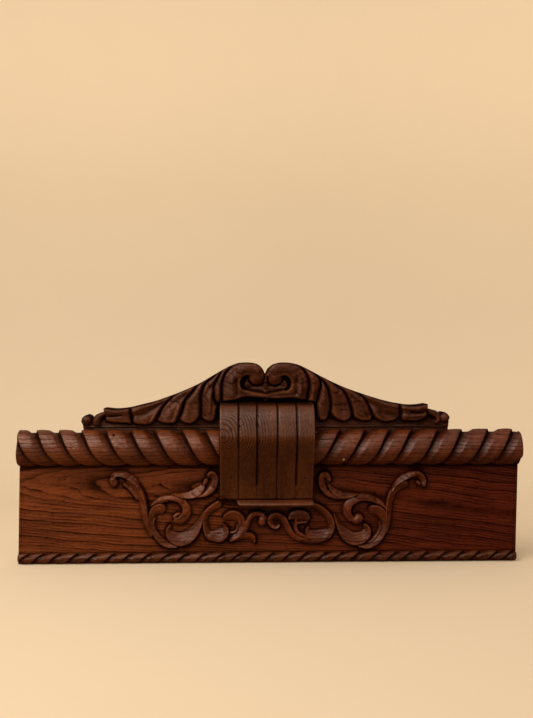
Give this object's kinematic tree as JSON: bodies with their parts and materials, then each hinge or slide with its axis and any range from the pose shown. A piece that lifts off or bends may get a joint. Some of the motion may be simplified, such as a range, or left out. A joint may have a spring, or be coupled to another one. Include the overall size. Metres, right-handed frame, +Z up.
{
  "type": "carved furniture pediment",
  "caption": "Long carved wooden cornice cresting: flat frieze board with rope mouldings, leaf crest with twin volutes, fluted S-shaped console corbel and applied scrollwork.",
  "frame": {"origin": "middle of the frieze board's bottom edge, at mid thickness", "axes": "+X to the right seen from the carved side, +Y to the back, +Z up; the carved side faces -Y"},
  "size_m": [0.6825, 0.0903, 0.2724],
  "materials": {
    "oak_dark": "old dark-stained and waxed oak, satin",
    "oak_plain": "bare aged oak, matt",
    "iron": "dark oxidised iron"
  },
  "bodies": {
    "root": {"back_batten_centre": "oak_plain", "back_batten_left": "oak_plain", "back_batten_right": "oak_plain", "batten_screw_centre_1": "iron", "batten_screw_centre_2": "iron", "batten_screw_centre_3": "iron", "batten_screw_centre_4": "iron", "batten_screw_left_1": "iron", "batten_screw_left_2": "iron", "batten_screw_left_3": "iron", "batten_screw_left_4": "iron", "batten_screw_right_1": "iron", "batten_screw_right_2": "iron", "batten_screw_right_3": "iron", "batten_screw_right_4": "iron", "bead_brad_1": "iron", "bead_brad_2": "iron", "bead_brad_3": "iron", "bead_brad_4": "iron", "bead_brad_5": "iron", "corbel_block": "oak_dark", "corbel_foot_fillet": "oak_dark", "corbel_nail_left": "iron", "corbel_nail_right": "iron", "crest_board": "oak_dark", "crest_dowel_1": "oak_plain", "crest_dowel_2": "oak_plain", "crest_dowel_3": "oak_plain", "crest_dowel_4": "oak_plain", "frieze_board": "oak_dark", "lower_rope": "oak_dark", "rope_brad_left_1": "iron", "rope_brad_left_2": "iron", "rope_brad_left_3": "iron", "rope_brad_right_1": "iron", "rope_brad_right_2": "iron", "rope_brad_right_3": "iron", "scroll_brad_left_inner_1": "iron", "scroll_brad_left_inner_2": "iron", "scroll_brad_left_outer_1": "iron", "scroll_brad_left_outer_2": "iron", "scroll_brad_right_inner_1": "iron", "scroll_brad_right_inner_2": "iron", "scroll_brad_right_outer_1": "iron", "scroll_brad_right_outer_2": "iron", "scroll_left_inner": "oak_dark", "scroll_left_outer": "oak_dark", "scroll_right_inner": "oak_dark", "scroll_right_outer": "oak_dark", "upper_rope_left": "oak_dark", "upper_rope_right": "oak_dark"}
  },
  "joints": []
}
